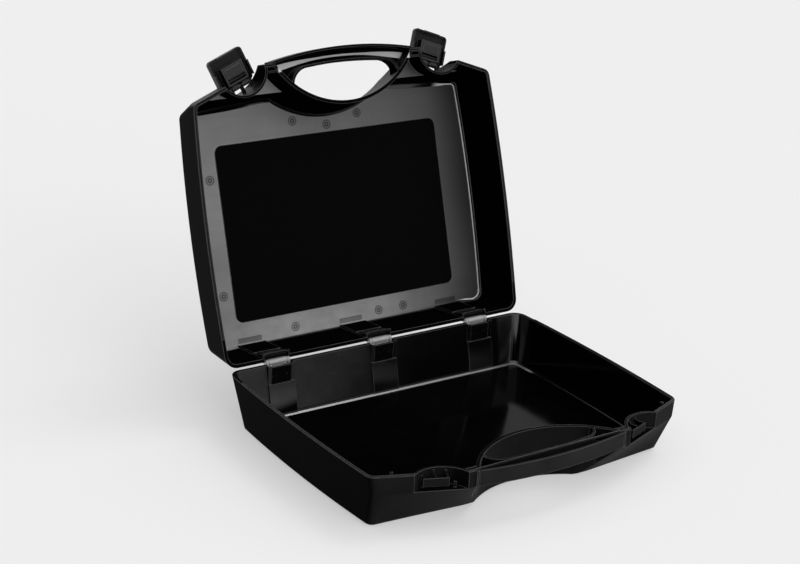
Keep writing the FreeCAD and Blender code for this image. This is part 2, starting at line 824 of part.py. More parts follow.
def latch_boss():
    """The hollow block inside a latch, with the plain field on its face and its ribs."""
    inner = latch_skin - latch_proud
    side = boss_half - boss_wall
    block = box(-boss_half, boss_half, inner - latch_skin / 2, boss_depth,
                -boss_bottom, boss_top)
    field_bottom = -boss_bottom + field_start
    recess_start = field_bottom + field_length + boss_wall
    recess = box(-side, side, inner, boss_depth + overrun, recess_start, boss_top - boss_wall)
    middle = (recess_start + boss_top - boss_wall) / 2
    rib = box(-side, side, inner, boss_depth - boss_wall,
              middle - rib_wall / 2, middle + rib_wall / 2)
    field = box(-field_half, field_half, boss_depth - boss_wall, boss_depth + field_rise,
                field_bottom, field_bottom + field_length)
    return [block.cut(recess), rib, field]


def latch_lip():
    """The lip that hooks below the catch plate."""
    bottom = -latch_drop + lip_inset
    return box(-lip_half, lip_half, latch_skin - latch_proud, lip_depth,
               bottom, bottom + lip_wall)


def latch_knuckles():
    """The two knuckles that turn on the pin, with the feet that join them to the boss."""
    inner = latch_skin - latch_proud
    knuckles = []
    for x0, x1 in ((-knuckle_end, -knuckle_start), (knuckle_start, knuckle_end)):
        knuckles.append(eye_plate(x0, x1, knuckle_radius, latch_root,
                                  inner - latch_skin / 2, knuckle_flats))
        knuckles.append(box(x0, x1, inner - latch_skin / 2, latch_side_depth,
                            boss_top - boss_wall, pivot_height - knuckle_radius / 2))
    return knuckles


def build_latch(hand):
    parts = [latch_cover(), latch_lip()] + latch_boss() + latch_knuckles()
    hole = pin_hole(latch_pin_radius + running_clearance, -latch_half, latch_half,
                    pivot_setback, pivot_height)
    latch = fused(parts).cut(hole)
    latch.rotate(point(0, pivot_setback, pivot_height), X_AXIS, -latch_open_angle)
    latch = on_shoulder(latch, hand)
    latch.translate(point(0, 0, base_height + seam_gap))
    return latch


def build_latch_pin(hand):
    pin = x_cylinder(latch_pin_radius, -lug_end, lug_end, pivot_setback, pivot_height)
    pin = on_shoulder(pin, hand)
    pin.translate(point(0, 0, base_height + seam_gap))
    return pin


def opened(shape):
    """Swings a shape of the lid from shut to open."""
    placed = shape.copy()
    placed.rotate(hinge_point, X_AXIS, -lid_open_angle)
    return placed


def main():
    os.makedirs("parts", exist_ok=True)
    nodes = {
        "base_shell": build_base_shell(),
        "lid_shell": opened(build_lid_shell()),
    }
    for name, x in (("left", -hinge_x), ("middle", 0), ("right", hinge_x)):
        nodes["hinge_base_leaf_" + name] = build_base_leaf(x)
        nodes["hinge_lid_leaf_" + name] = opened(build_lid_leaf(x))
        nodes["hinge_pin_" + name] = build_hinge_pin(x)
    for name, hand in (("left", LEFT), ("right", RIGHT)):
        nodes["latch_" + name] = opened(build_latch(hand))
        nodes["latch_pin_" + name] = opened(build_latch_pin(hand))
    for name, shape in nodes.items():
        shape.exportStep("parts/" + name + ".step")
        bounds = shape.BoundBox
        print(name, "solids", len(shape.Solids), "valid", shape.isValid(),
              "volume", round(shape.Volume),
              "box", [round(v, 1) for v in (bounds.XMin, bounds.XMax, bounds.YMin,
                                            bounds.YMax, bounds.ZMin, bounds.ZMax)])


main()
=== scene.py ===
import math

import bpy
from mathutils import Matrix, Vector


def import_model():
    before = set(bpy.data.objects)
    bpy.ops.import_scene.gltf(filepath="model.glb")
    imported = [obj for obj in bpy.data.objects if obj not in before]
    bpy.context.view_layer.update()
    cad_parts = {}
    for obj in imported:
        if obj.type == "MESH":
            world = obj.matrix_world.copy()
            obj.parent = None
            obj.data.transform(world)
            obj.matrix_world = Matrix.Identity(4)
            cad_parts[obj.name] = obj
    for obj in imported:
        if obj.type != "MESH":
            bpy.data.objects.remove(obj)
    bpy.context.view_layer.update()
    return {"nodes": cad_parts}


# The photograph's camera, in metres and degrees
CAMERA_PLACE = Vector((-1.0257, -1.4278, 0.8401))
CAMERA_YAW = 33.71
CAMERA_PITCH = 20.54
CAMERA_ROLL = 2.32
LENS_MM = 78.54
SENSOR_MM = 36.0

# Floor and background
BACKGROUND = (0.855, 0.855, 0.855, 1.0)
SHADOW_EASE = 0.5               # share of the floor that shows its plain colour
FLOOR_HALF_SIZE = 40.0

# Light. A direction's height goes from 0 at the horizon to 1 overhead.
LIGHT_LEVEL = 0.70              # brings the open floor to its own colour
SKY_ALONG_HEIGHT = (0.10, 0.85, 0.10, 1.25)     # from, to, strength there, strength here
SKY_ALONG_Y = (-0.6, 0.8, 1.20, 0.80)           # more comes from the front
# Soft patches: direction, angles in degrees to the full part and to the rim, strength
PATCHES = (((0.80, 0.15, 0.60), 18.0, 42.0, 0.8),
           ((0.50, 0.00, 0.87), 8.0, 14.0, 6.0),
           ((0.10, -0.90, 0.35), 14.0, 24.0, 4.2),
           ((0.10, -0.70, 0.70), 16.0, 42.0, 1.1),
           ((0.85, -0.35, 0.40), 15.0, 40.0, 1.2))

# Places on the case, in metres. Those of the lid are counted with the case shut.
# A pair gives the two sides of a soft border, from low to high.
HINGE = (0.0, 0.1475, 0.06315)
LID_OPEN_ANGLE = 106.7
KNUCKLE_RADIUS = (0.0048, 0.0051)
BASE_CENTRE = (0.0, -0.01, 0.032)
LID_CENTRE = (0.0, -0.01, 0.095)
OUTWARD_BLUR = 0.004            # between the faces that look in and those that look out
BASE_REAR_WALL_Y = (0.100, 0.110)
BASE_CORNER_LOW = (0.0031, 0.0034)      # the round between the base's walls and floor
BASE_CORNER_LINE = (0.0046, 0.0050)     # its painted highlight line is below this
BASE_CORNER_HIGH = (0.0064, 0.0074)
BASE_CORNER_LINE_Y = (0.09, 0.11)
BASE_GLINT_X = (0.162, 0.168)           # the upright rear right corner
BASE_GLINT_Y = (0.116, 0.122)
GRIP_Y = (-0.182, -0.180)
GRIP_X = (0.090, 0.091)
LID_FLOOR = 0.1243
LID_FLOOR_DEPTH = (0.0012, 0.0016)      # depths are counted from the lid's floor
LID_REAR_CURVE_DEPTH = (0.0044, 0.0050)
LID_REAR_CURVE_Y = (0.110, 0.118)
LID_CORNER_DEPTH = (0.0036, 0.0046)
LID_CORNER_TOP_DEPTH = (0.0, 0.0003)
# the right floor corner, where the painted highlight lines lie
LID_CORNER_LINE_X = (0.150, 0.165)
WEB_LEVEL = 0.0893
WEB_BLUR = (0.0008, 0.0012)
LATCH_PLATE_LEVEL = (0.0855, 0.0860)

# What part of a face's normal has to point one way: where it starts to count, and fully counts
FLAT_FACING = (0.90, 0.97)
STREAK_FACING = (0.90, 0.96)
WALL_FACING = (0.80, 0.90)
SIDE_FACING = (0.5, 0.9)
MEETING_FACING = (0.5, 0.8)
CURVE_FACING = (0.35, 0.45)
INNER_LINE_FACING = ((0.74, 0.80), (0.93, 0.96))    # a painted highlight line lies between its two pairs
OUTER_LINE_FACING = ((0.14, 0.20), (0.36, 0.42))

# The black field on the lid's floor, and the marks round it
PANEL_HALF = 0.150
PANEL_Y = (-0.0985, 0.1055)     # front and rear edge
PANEL_ROUND = 0.009
PANEL_BLUR = 0.0004
PANEL_BORDER = 0.0012
# a painted highlight in a thin band round the black field
PANEL_BORDER_HIGHLIGHT_GAIN = 1.3
PIN_MARKS = ((-0.045, -0.116), (0.0, -0.107), (0.043, -0.116), (-0.160, -0.061),
             (-0.162, 0.072), (-0.075, 0.122), (0.040, 0.122), (0.075, 0.122))
PIN_MARK_RADIUS = 0.0050
PIN_MARK_FACE_START = 0.9       # where the mark's face starts to fade, as a share of its radius
PIN_MARK_LINES = ((1.0, 0.0010), (0.4, 0.0014))     # share of the radius, and half the width
CORE_MARKS = (-0.136, 0.0, 0.136)
CORE_MARK_HALF = 0.015
CORE_MARK_Y = (0.1235, 0.1290)  # front and rear edge
CORE_MARK_BLUR = 0.0003
CORE_MARK_SIDE_BLUR = 0.0004
FACE_DARKER = 0.26
LINE_DARKER = 0.72
CORE_DARKER = 0.50

# The painted highlight along the lid's half of the handle
HANDLE_CENTRE_Y = 0.261
STREAK_RADIUS = 0.4456
STREAK_HALF_ALONG_X = (0.02, 0.088, 0.0011, 0.0036)     # from, to, half its width there, here
STREAK_END_X = (0.086, 0.089)
STREAK_Y = (-0.165, -0.160)
STREAK_Z = (0.080, 0.082)

# Base colours, as greys
INSIDE_SHADE = 0.0012
BASE_SHADE = 0.0090
# painted shade on the base's left sides and on the faces that look up, such as the rim
BASE_PAINTED_SHADE = 0.0030
# painted light on the front face of the grip
GRIP_PAINTED_LIGHT = 0.016
# painted highlight on the rounded edges
BASE_EDGE_HIGHLIGHT = 0.040
BASE_CORNER_HIGHLIGHT_SHADES = (1.0, 0.006)       # on the painted highlight line and off it, times the gradient below
LID_SHADE = 0.0110
# painted shade on the lid's left sides and on the faces that look down with the case shut, such
# as the rim
LID_PAINTED_SHADE = 0.0020
# painted highlight on the rounded edges
LID_EDGE_HIGHLIGHT = 0.055
# painted highlight lines along the lid's right floor corner
LID_INNER_LINE_HIGHLIGHT = 0.60
LID_OUTER_LINE_HIGHLIGHT = 0.12
# painted highlight along the handle
STREAK_HIGHLIGHT = 0.55
LATCH_SHADES = (0.003, 0.022)           # the body, and the plate on its inner side
HINGE_SHADES_AND_HIGHLIGHT = (0.002, 0.30)            # the leaves, and a painted highlight on the polished knuckles
# painted highlight on the rounded edges of latches and hinges
SMALL_EDGE_HIGHLIGHT = 0.07
STEEL_SHADES = (0.42, 0.58)

# Gradients over the case: from place, to place, value there, value here
# painted light on the base's rear wall, lightest at the left
REAR_PAINTED_LIGHT_ALONG_X = (-0.19, 0.06, 0.036, 0.001)
# the painted highlight on the base's rear floor corner, lighter at the left
CORNER_HIGHLIGHT_ALONG_X = (-0.19, 0.16, 0.45, 0.15)
FLOOR_GLOSS_ALONG_X = (-0.06, 0.06, 0.003, 0.055)
# painted sheen on the lid's satin, lighter at the left and the rear
PAINTED_SHEEN_ALONG_X = (-0.19, 0.19, 0.150, 0.012)
PAINTED_SHEEN_REAR_GAIN_ALONG_X = (-0.19, 0.05, 0.9, 2.6)
PAINTED_SHEEN_GAIN_Y = (-0.02, 0.13)
UNEVEN_ALONG_Y = (0.095, 0.110, 0.20, 0.45)
LID_CORNER_GLOSS = (0.6, 0.15)          # away from the painted highlight lines, and beside them

# Roughness
OUTSIDE_ROUGHNESS = 0.50
BASE_INSIDE_ROUGHNESS = 0.09
BASE_REAR_ROUGHNESS = 0.26
LID_INSIDE_ROUGHNESS = 0.60
LID_CORNER_ROUGHNESS = 0.16
SATIN_ROUGHNESS = 0.42
PANEL_ROUGHNESS = 0.30
EDGE_ROUGHNESS = 0.22
LATCH_ROUGHNESS = 0.28
HINGE_ROUGHNESS = 0.36
STEEL_ROUGHNESS = (0.26, 0.38)

# Specular levels
BASE_OUTSIDE_GLOSS = 0.02
BASE_DARK_GLOSS = 0.004
BASE_AWAY_GLOSS = 0.20          # on the right side and the back
BASE_REAR_GLOSS = 0.10
BASE_CORNER_GLOSSES = (1.0, 0.25)
LID_OUTSIDE_GLOSS = 0.20
DARK_GLOSS = 0.005
SATIN_GLOSS = 0.85
PANEL_GLOSS = 0.02
EDGE_GLOSS = 0.9
LATCH_GLOSS = 0.18
HINGE_GLOSS = 0.03

# Unevenness. A cloud's range says which part of the noise is spread over the range of values.
CLOUD_RANGE = (0.3, 0.7)
SATIN_CLOUD_RANGE = (0.25, 0.75)
BASE_CLOUD = (14.0, 4.0, 0.6)           # scale, detail and roughness of the noise
LID_CLOUD = (9.0, 4.0, 0.6)
SMALL_CLOUD = (40.0, 3.0, 0.6)
WISP = (1.0, 3.0, 0.55)
WISP_STRETCH = (14.0, 90.0, 14.0)
WISP_GAIN = (0.94, 1.06)
DRAWN_LINE = (1.0, 2.0, 0.5)
DRAWN_STRETCH = (40.0, 2500.0, 2500.0)
BASE_SHADE_GAIN = (0.75, 1.25)
BASE_ROUGHNESS_CHANGE = 0.03
SMALL_SHADE_GAIN = (0.8, 1.2)
SMALL_ROUGHNESS_CHANGE = 0.06

# Grain and rounded edges
GRAIN_DETAIL = 3.0
GRAIN_ROUGHNESS = 0.6
GRAIN_DEPTH = 0.0002
GRAIN_OUTSIDE = 0.35
GRAIN_INSIDE = 0.02
SHELL_GRAIN_SCALE = 1400.0
SHELL_EDGE_ROUND = 0.0009
SMALL_GRAIN = 0.15
SMALL_GRAIN_SCALE = 1800.0
SMALL_EDGE_ROUND = 0.0007
EDGE_SAMPLES = 6
EDGE_TURN = (0.90, 0.995)

# Shading of the meshes
PLACE_DIGITS = 6
FLAT_ANGLE = 1.5                # degrees within which two faces count as one flat
SMOOTH_ANGLE = 50.0


def camera():
    """Stands where the photograph was taken, level but for a small roll."""
    yaw = math.radians(CAMERA_YAW)
    pitch = math.radians(CAMERA_PITCH)
    roll = math.radians(CAMERA_ROLL)
    forward = Vector((math.sin(yaw) * math.cos(pitch), math.cos(yaw) * math.cos(pitch),
                      -math.sin(pitch)))
    level_right = Vector((math.cos(yaw), -math.sin(yaw), 0.0))
    level_up = level_right.cross(forward)
    right = math.cos(roll) * level_right + math.sin(roll) * level_up
    up = math.cos(roll) * level_up - math.sin(roll) * level_right
    data = bpy.data.cameras.new("camera")
    data.lens = LENS_MM
    data.sensor_width = SENSOR_MM
    data.clip_end = 4 * FLOOR_HALF_SIZE
    eye = bpy.data.objects.new("camera", data)
    turn = Matrix((right, up, -forward)).transposed().to_4x4()
    eye.matrix_world = Matrix.Translation(CAMERA_PLACE) @ turn
    bpy.context.scene.collection.objects.link(eye)
    bpy.context.scene.camera = eye


class Nodes:
    """Adds and links shader nodes in one tree."""

    def __init__(self, tree):
        self.tree = tree

    def add(self, kind, **settings):
        node = self.tree.nodes.new(kind)
        for name, value in settings.items():
            setattr(node, name, value)
        return node

    def link(self, source, target):
        self.tree.links.new(source, target)

    def feed(self, value, socket):
        if isinstance(value, bpy.types.NodeSocket):
            self.link(value, socket)
        else:
            socket.default_value = value

    def math(self, operation, first, second=0.0):
        node = self.add("ShaderNodeMath", operation=operation)
        self.feed(first, node.inputs[0])
        self.feed(second, node.inputs[1])
        return node.outputs[0]

    def chain(self, operation, first, *others):
        for other in others:
            first = self.math(operation, first, other)
        return first

    def total(self, *values):
        return self.chain("ADD", *values)

    def product(self, *values):
        return self.chain("MULTIPLY", *values)

    def highest(self, *values):
        return self.chain("MAXIMUM", *values)

    def but(self, share):
        """What a share leaves."""
        return self.math("SUBTRACT", 1.0, share)

    def absolute(self, value):
        return self.math("ABSOLUTE", value)

    def off(self, value, place):
        """How far a value is from a place, either way."""
        return self.absolute(self.math("SUBTRACT", value, place))

    def distance(self, dx, dy):
        return self.math("SQRT", self.total(self.product(dx, dx), self.product(dy, dy)))

    def vector(self, operation, first, second=(0.0, 0.0, 0.0)):
        """A vector operation. A dot product or a length comes out as a number."""
        node = self.add("ShaderNodeVectorMath", operation=operation)
        self.feed(first, node.inputs[0])
        self.feed(second, node.inputs[1])
        return node.outputs["Value" if operation in ("DOT_PRODUCT", "LENGTH") else "Vector"]

    def ease(self, value, low, high, from_end, to_end):
        """Eases from one value to another as the input goes from low to high."""
        node = self.add("ShaderNodeMapRange", interpolation_type="SMOOTHSTEP")
        for name, given in (("Value", value), ("From Min", low), ("From Max", high),
                            ("To Min", from_end), ("To Max", to_end)):
            self.feed(given, node.inputs[name])
        return node.outputs[0]

    def above(self, value, start, full):
        return self.ease(value, start, full, 0.0, 1.0)

    def below(self, value, full, end):
        return self.ease(value, full, end, 1.0, 0.0)

    def looking(self, part_of_normal, facing):
        """1 on the faces whose normal has enough of this part."""
        return self.above(part_of_normal, *facing)

    def looking_back(self, part_of_normal, facing):
        """1 on the faces whose normal has enough of the opposite of this part."""
        start, full = facing
        return self.below(part_of_normal, -full, -start)

    def mix(self, share, first, second):
        """A number between two others."""
        node = self.add("ShaderNodeMix", data_type="FLOAT")
        self.feed(share, node.inputs[0])
        self.feed(first, node.inputs[2])
        self.feed(second, node.inputs[3])
        return node.outputs[0]

    def mix_shaders(self, share, first, second):
        node = self.add("ShaderNodeMixShader")
        self.link(share, node.inputs[0])
        self.link(first, node.inputs[1])
        self.link(second, node.inputs[2])
        return node.outputs[0]

    def grey(self, value):
        node = self.add("ShaderNodeCombineColor")
        for socket in node.inputs:
            self.feed(value, socket)
        return node.outputs[0]

    def noise(self, place, scale, detail, roughness):
        node = self.add("ShaderNodeTexNoise")
        self.link(place, node.inputs["Vector"])
        node.inputs["Scale"].default_value = scale
        node.inputs["Detail"].default_value = detail
        node.inputs["Roughness"].default_value = roughness
        return node.outputs[0]

    def stretched(self, place, scale):
        node = self.add("ShaderNodeMapping")
        node.inputs["Scale"].default_value = scale
        self.link(place, node.inputs["Vector"])
        return node.outputs[0]

    def split(self, vector):
        node = self.add("ShaderNodeSeparateXYZ")
        self.link(vector, node.inputs[0])
        return node.outputs[0], node.outputs[1], node.outputs[2]

    def turned(self, vector, centre):
        """Takes a place or direction on the open lid to the shut case."""
        node = self.add("ShaderNodeVectorRotate", rotation_type="X_AXIS")
        self.link(vector, node.inputs["Vector"])
        node.inputs["Center"].default_value = centre
        node.inputs["Angle"].default_value = math.radians(LID_OPEN_ANGLE)
        return node.outputs[0]


def background_rays(nodes):
    """1 for what the camera sees, straight or in a gloss or through glass."""
    rays = nodes.add("ShaderNodeLightPath").outputs
    return nodes.highest(rays["Is Camera Ray"], rays["Is Glossy Ray"],
                         rays["Is Transmission Ray"])


def light_patch(nodes, direction, way, inner, outer, strength):
    """A soft patch of light in the world, around one direction."""
    aim = Vector(way).normalized()
    facing = nodes.vector("DOT_PRODUCT", direction, tuple(aim))
    return nodes.ease(facing, math.cos(math.radians(outer)), math.cos(math.radians(inner)),
                      0.0, strength)


def world():
    """Soft light from above and from the front, seen against a plain background."""
    made = bpy.data.worlds.new("studio")
    made.use_nodes = True
    tree = made.node_tree
    tree.nodes.clear()
    nodes = Nodes(tree)
    output = nodes.add("ShaderNodeOutputWorld")
    where = nodes.add("ShaderNodeTexCoord").outputs["Generated"]
    _, along, height = nodes.split(where)
    glow = nodes.product(nodes.ease(height, *SKY_ALONG_HEIGHT), nodes.ease(along, *SKY_ALONG_Y))
    glow = nodes.total(glow, *[light_patch(nodes, where, *patch) for patch in PATCHES])
    studio = nodes.add("ShaderNodeBackground")
    nodes.link(nodes.product(glow, LIGHT_LEVEL), studio.inputs["Strength"])
    plain = nodes.add("ShaderNodeBackground")
    plain.inputs["Color"].default_value = BACKGROUND
    mixed = nodes.mix_shaders(background_rays(nodes), studio.outputs[0], plain.outputs[0])
    nodes.link(mixed, output.inputs["Surface"])
    bpy.context.scene.world = made


def new_material(name):
    """A material, with what its nodes need and its principled shader."""
    made = bpy.data.materials.new(name)
    made.use_nodes = True
    return made, Nodes(made.node_tree), made.node_tree.nodes["Principled BSDF"]


def floor():
    """A pale floor that keeps the case's shadow, eased towards its plain colour."""
    mesh = bpy.data.meshes.new("floor")
    h = FLOOR_HALF_SIZE
    mesh.from_pydata([(-h, -h, 0), (h, -h, 0), (h, h, 0), (-h, h, 0)], [], [(0, 1, 2, 3)])
    plate = bpy.data.objects.new("floor", mesh)
    bpy.context.scene.collection.objects.link(plate)
    made, nodes, shader = new_material("floor")
    shader.inputs["Base Color"].default_value = BACKGROUND
    shader.inputs["Roughness"].default_value = 1.0
    shader.inputs["Specular IOR Level"].default_value = 0.0
    plain = nodes.add("ShaderNodeEmission")
    plain.inputs["Color"].default_value = BACKGROUND
    share = nodes.product(background_rays(nodes), SHADOW_EASE)
    mixed = nodes.mix_shaders(share, shader.outputs[0], plain.outputs[0])
    nodes.link(mixed, made.node_tree.nodes["Material Output"].inputs["Surface"])
    plate.data.materials.append(made)


def flat_sizes(faces):
    """For each face, the area of the flat that it is part of."""
    flat = list(range(len(faces)))

    def root(i):
        while flat[i] != i:
            flat[i] = flat[flat[i]]
            i = flat[i]
        return i

    by_edge = {}
    for i, (_, _, corners) in enumerate(faces):
        for a, b in zip(corners, corners[1:] + corners[:1]):
            by_edge.setdefault(tuple(sorted((a, b))), []).append(i)
    same = math.cos(math.radians(FLAT_ANGLE))
    for first, *others in by_edge.values():
        for i in others:
            if faces[i][0].dot(faces[first][0]) > same:
                flat[root(i)] = root(first)
    size = {}
    for i, (_, area, _) in enumerate(faces):
        size[root(i)] = size.get(root(i), 0.0) + area
    return [size[root(i)] for i in range(len(faces))]


def smooth_normals(node):
    """Rounds the shading across moulded edges, and keeps large flat faces flat."""
    mesh = node.data
    keys = [tuple(round(v, PLACE_DIGITS) for v in vertex.co) for vertex in mesh.vertices]
    faces = [(polygon.normal.copy(), polygon.area, [keys[v] for v in polygon.vertices])
             for polygon in mesh.polygons]
    sizes = flat_sizes(faces)
    around = {}
    for i, (_, _, corners) in enumerate(faces):
        for corner in corners:
            around.setdefault(corner, []).append(i)
    close = math.cos(math.radians(SMOOTH_ANGLE))
    normals = []
    for normal, _, corners in faces:
        for corner in corners:
            total = Vector((0.0, 0.0, 0.0))
            for j in around[corner]:
                if faces[j][0].dot(normal) > close:
                    total += faces[j][0] * (sizes[j] ** 2)
            normals.append(total.normalized() if total.length > 0.0 else normal)
    mesh.polygons.foreach_set("use_smooth", [True] * len(mesh.polygons))
    mesh.normals_split_custom_set(normals)


def grained(nodes, shader, place, height, scale, edge_round):
    """Moulded grain, with edges rounded by a small radius. Gives the share of the rounding."""
    bump = nodes.add("ShaderNodeBump")
    bump.inputs["Distance"].default_value = GRAIN_DEPTH
    nodes.feed(height, bump.inputs["Strength"])
    nodes.link(nodes.noise(place, scale, GRAIN_DETAIL, GRAIN_ROUGHNESS), bump.inputs["Height"])
    rounded = nodes.add("ShaderNodeBevel", samples=EDGE_SAMPLES)
    rounded.inputs["Radius"].default_value = edge_round
    nodes.link(rounded.outputs[0], bump.inputs["Normal"])
    nodes.link(bump.outputs[0], shader.inputs["Normal"])
    straight = nodes.add("ShaderNodeNewGeometry").outputs["Normal"]
    turn = nodes.vector("DOT_PRODUCT", rounded.outputs[0], straight)
    return nodes.below(turn, *EDGE_TURN)


def shell_grain(nodes, shader, place, inside):
    """The grain of both shells, which is almost gone on the inside."""
    height = nodes.mix(inside, GRAIN_OUTSIDE, GRAIN_INSIDE)
    return grained(nodes, shader, place, height, SHELL_GRAIN_SCALE, SHELL_EDGE_ROUND)


def assign(nodes, shader, shade, roughness, gloss):
    """Links to a shader what varies over its piece."""
    nodes.link(nodes.grey(shade), shader.inputs["Base Color"])
    nodes.link(roughness, shader.inputs["Roughness"])
    nodes.link(gloss, shader.inputs["Specular IOR Level"])


def inside_share(nodes, place, normal, centre):
    """1 on the faces that look into a shell, 0 on those that look out of it."""
    outward = nodes.vector("DOT_PRODUCT", nodes.vector("SUBTRACT", place, centre), normal)
    return nodes.below(outward, -OUTWARD_BLUR, 0.0)


def base_plastic():
    """Black plastic, grained outside and smooth inside, with painted light on the rear wall,
    painted shade and highlights.
    """
    made, nodes, shader = new_material("base_shell_plastic")
    where = nodes.add("ShaderNodeTexCoord")
    place, normal = where.outputs["Object"], where.outputs["Normal"]
    x, y, z = nodes.split(place)
    normal_x, normal_y, normal_z = nodes.split(normal)
    inside = inside_share(nodes, place, normal, BASE_CENTRE)
    edge = shell_grain(nodes, shader, place, inside)
    cloud = nodes.noise(place, *BASE_CLOUD)
    rear = nodes.product(inside, nodes.looking_back(normal_y, WALL_FACING),
                         nodes.above(y, *BASE_REAR_WALL_Y))
    # Painted light on the front face of the grip
    lit_grip = nodes.product(nodes.below(y, *GRIP_Y), nodes.below(nodes.absolute(x), *GRIP_X))
    # Painted shade on the left sides and on the faces that look up, which also get less gloss
    dark = nodes.highest(nodes.looking_back(normal_x, SIDE_FACING),
                         nodes.looking(normal_z, MEETING_FACING))
    corner = nodes.product(nodes.below(z, *BASE_CORNER_HIGH), nodes.above(z, *BASE_CORNER_LOW),
                           inside)
    rear_highlight_corner = nodes.product(corner, nodes.above(y, *BASE_CORNER_LINE_Y))

    shade = nodes.mix(inside, nodes.mix(dark, BASE_SHADE, BASE_PAINTED_SHADE), INSIDE_SHADE)
    shade = nodes.mix(lit_grip, shade, GRIP_PAINTED_LIGHT)
    # Painted light on the rear wall, lightest at the left
    shade = nodes.mix(rear, shade, nodes.ease(x, *REAR_PAINTED_LIGHT_ALONG_X))
    shade = nodes.product(shade, nodes.ease(cloud, *CLOUD_RANGE, *BASE_SHADE_GAIN))
    # A painted highlight along the rear floor corner, lighter at the left
    shade = nodes.mix(rear_highlight_corner, shade, nodes.ease(z, *BASE_CORNER_LINE, *BASE_CORNER_HIGHLIGHT_SHADES))
    shade = nodes.product(shade, nodes.mix(rear_highlight_corner, 1.0,
                                           nodes.ease(x, *CORNER_HIGHLIGHT_ALONG_X)))

    rough = nodes.mix(inside, OUTSIDE_ROUGHNESS, BASE_INSIDE_ROUGHNESS)
    rough = nodes.mix(rear, rough, BASE_REAR_ROUGHNESS)
    rough = nodes.total(rough, nodes.ease(cloud, *CLOUD_RANGE,
                                          -BASE_ROUGHNESS_CHANGE, BASE_ROUGHNESS_CHANGE))

    away = nodes.looking(nodes.highest(normal_x, normal_y), MEETING_FACING)
    gloss = nodes.mix(away, nodes.mix(dark, BASE_OUTSIDE_GLOSS, BASE_DARK_GLOSS),
                      BASE_AWAY_GLOSS)
    gloss = nodes.mix(inside, gloss, nodes.ease(x, *FLOOR_GLOSS_ALONG_X))
    gloss = nodes.mix(rear, gloss, BASE_REAR_GLOSS)
    gloss = nodes.mix(corner, gloss, nodes.ease(z, *BASE_CORNER_LINE, *BASE_CORNER_GLOSSES))
    glint = nodes.product(nodes.above(x, *BASE_GLINT_X), nodes.above(y, *BASE_GLINT_Y), inside)
    gloss = nodes.mix(glint, gloss, 1.0)
    # Painted highlights on the rounded edges, which are also glossier
    assign(nodes, shader, nodes.mix(edge, shade, BASE_EDGE_HIGHLIGHT),
           nodes.mix(edge, rough, EDGE_ROUGHNESS), nodes.mix(edge, gloss, EDGE_GLOSS))
    return made


def panel_share(nodes, x, y, more):
    """1 inside the black field, grown by a little, and 0 outside it."""
    low, high = PANEL_Y[0] - more, PANEL_Y[1] + more
    straight_x = PANEL_HALF + more - PANEL_ROUND
    straight_y = (high - low) / 2 - PANEL_ROUND
    dx = nodes.highest(nodes.math("SUBTRACT", nodes.absolute(x), straight_x), 0.0)
    dy = nodes.highest(nodes.math("SUBTRACT", nodes.off(y, (low + high) / 2), straight_y), 0.0)
    return nodes.below(nodes.distance(dx, dy), PANEL_ROUND - PANEL_BLUR, PANEL_ROUND + PANEL_BLUR)


def highlight_streak_share(nodes, x, y, z, facing):
    """A painted highlight line in the lid's half of the handle, on its floor that faces the base.
    """
    far = nodes.distance(x, nodes.math("SUBTRACT", y, HANDLE_CENTRE_Y))
    half = nodes.ease(nodes.absolute(x), *STREAK_HALF_ALONG_X)
    on_line = nodes.math("LESS_THAN", nodes.off(far, STREAK_RADIUS), half)
    return nodes.product(on_line, nodes.looking_back(facing, STREAK_FACING),
                         nodes.below(y, *STREAK_Y),
                         nodes.below(nodes.absolute(x), *STREAK_END_X),
                         nodes.below(z, *STREAK_Z))


def core_share(nodes, x, y):
    """The marks that the hinges' cores leave on the lid's floor."""
    low, high = CORE_MARK_Y
    depth = nodes.product(nodes.above(y, low - CORE_MARK_BLUR, low),
                          nodes.below(y, high, high + CORE_MARK_BLUR))
    marks = [nodes.below(nodes.off(x, place), CORE_MARK_HALF,
                         CORE_MARK_HALF + CORE_MARK_SIDE_BLUR) for place in CORE_MARKS]
    return nodes.product(nodes.total(*marks), depth)


def pin_mark_shares(nodes, x, y):
    """The round marks of the ejector pins: their shaded faces and their fine dark lines."""
    faces, lines = [], []
    for px, py in PIN_MARKS:
        far = nodes.distance(nodes.math("SUBTRACT", x, px), nodes.math("SUBTRACT", y, py))
        faces.append(nodes.below(far, PIN_MARK_RADIUS * PIN_MARK_FACE_START, PIN_MARK_RADIUS))
        for share, half in PIN_MARK_LINES:
            lines.append(nodes.below(nodes.off(far, PIN_MARK_RADIUS * share), 0.0, half))
    return nodes.total(*faces), nodes.total(*lines)


def unmarked_share(nodes, x, y):
    """1 on the bare satin, less on the marks that moulding leaves in it."""
    face, line = pin_mark_shares(nodes, x, y)
    core = core_share(nodes, x, y)
    return nodes.product(*[nodes.but(nodes.product(share, darker))
                           for share, darker in ((face, FACE_DARKER), (line, LINE_DARKER),
                                                 (core, CORE_DARKER))])


def painted_sheen_shade(nodes, place, x, y, unmarked):
    """A painted sheen: the grey of the satin, lighter at the left and the rear, with clouds and
    fine wisps.
    """
    shade = nodes.ease(x, *PAINTED_SHEEN_ALONG_X)
    shade = nodes.product(shade, nodes.ease(y, *PAINTED_SHEEN_GAIN_Y, 1.0,
                                            nodes.ease(x, *PAINTED_SHEEN_REAR_GAIN_ALONG_X)))
    cloud = nodes.noise(place, *LID_CLOUD)
    uneven = nodes.product(nodes.ease(y, *UNEVEN_ALONG_Y),
                           nodes.ease(cloud, *SATIN_CLOUD_RANGE, -1.0, 1.0))
    wisp = nodes.noise(nodes.stretched(place, WISP_STRETCH), *WISP)
    # A painted highlight in a thin band round the black field
    border = panel_share(nodes, x, y, PANEL_BORDER)
    return nodes.product(shade, nodes.total(1.0, uneven),
                         nodes.ease(wisp, *SATIN_CLOUD_RANGE, *WISP_GAIN), unmarked,
                         nodes.ease(border, 0.0, 1.0, 1.0, PANEL_BORDER_HIGHLIGHT_GAIN))


